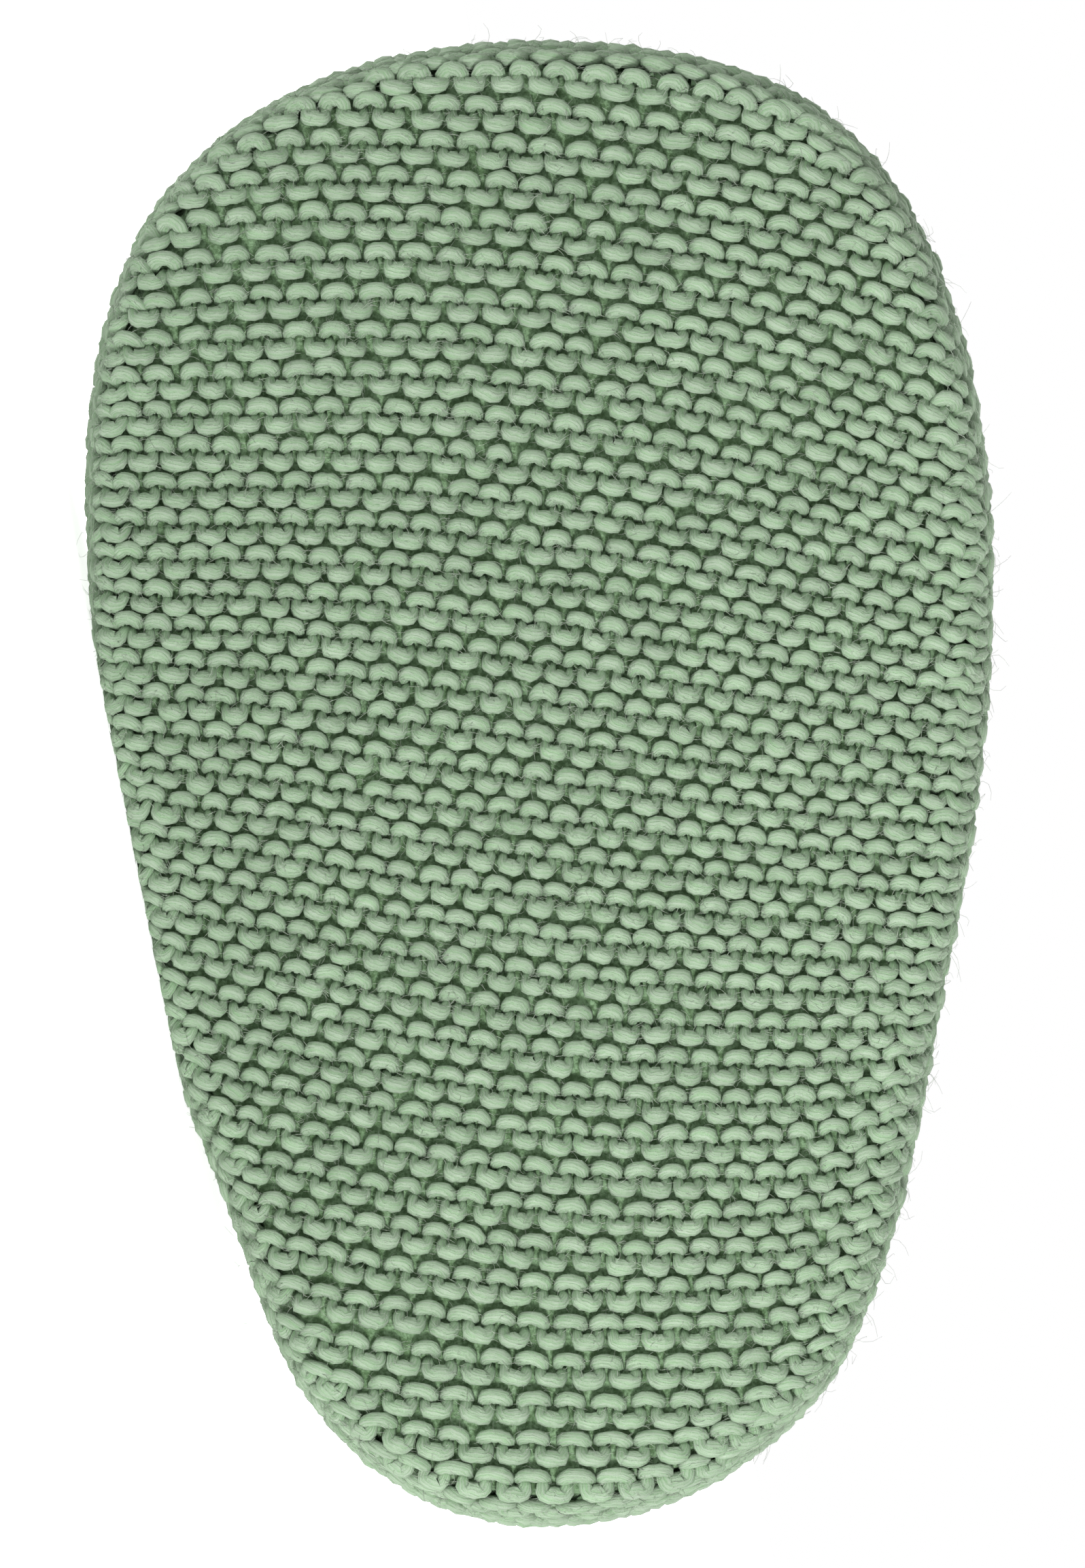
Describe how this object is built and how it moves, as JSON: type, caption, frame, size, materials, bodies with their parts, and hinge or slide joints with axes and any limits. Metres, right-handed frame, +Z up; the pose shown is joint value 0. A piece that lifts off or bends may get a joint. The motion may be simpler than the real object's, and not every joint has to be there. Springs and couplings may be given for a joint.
{
  "type": "knitted baby slipper",
  "caption": "Garter-stitch knitted baby slipper with a wide toe, narrow heel, hollow upper open at the collar and felt insole, lying on its side.",
  "frame": {"origin": "centre of the bounding box on the floor that the slipper lies on", "axes": "+X towards the heel along the slipper's length, +Y from the sole towards the collar, +Z up from the floor; the slipper lies on its left side as seen from beneath, toe up"},
  "size_m": [0.1142, 0.0502, 0.0705],
  "materials": {
    "sole_wool": "sage green garter stitch in soft plied wool",
    "upper_wool": "sage green garter stitch in soft plied wool",
    "insole_felt": "thin pale green wool felt"
  },
  "bodies": {
    "root": {"sole": "sole_wool", "upper": "upper_wool", "insole": "insole_felt"}
  },
  "joints": []
}
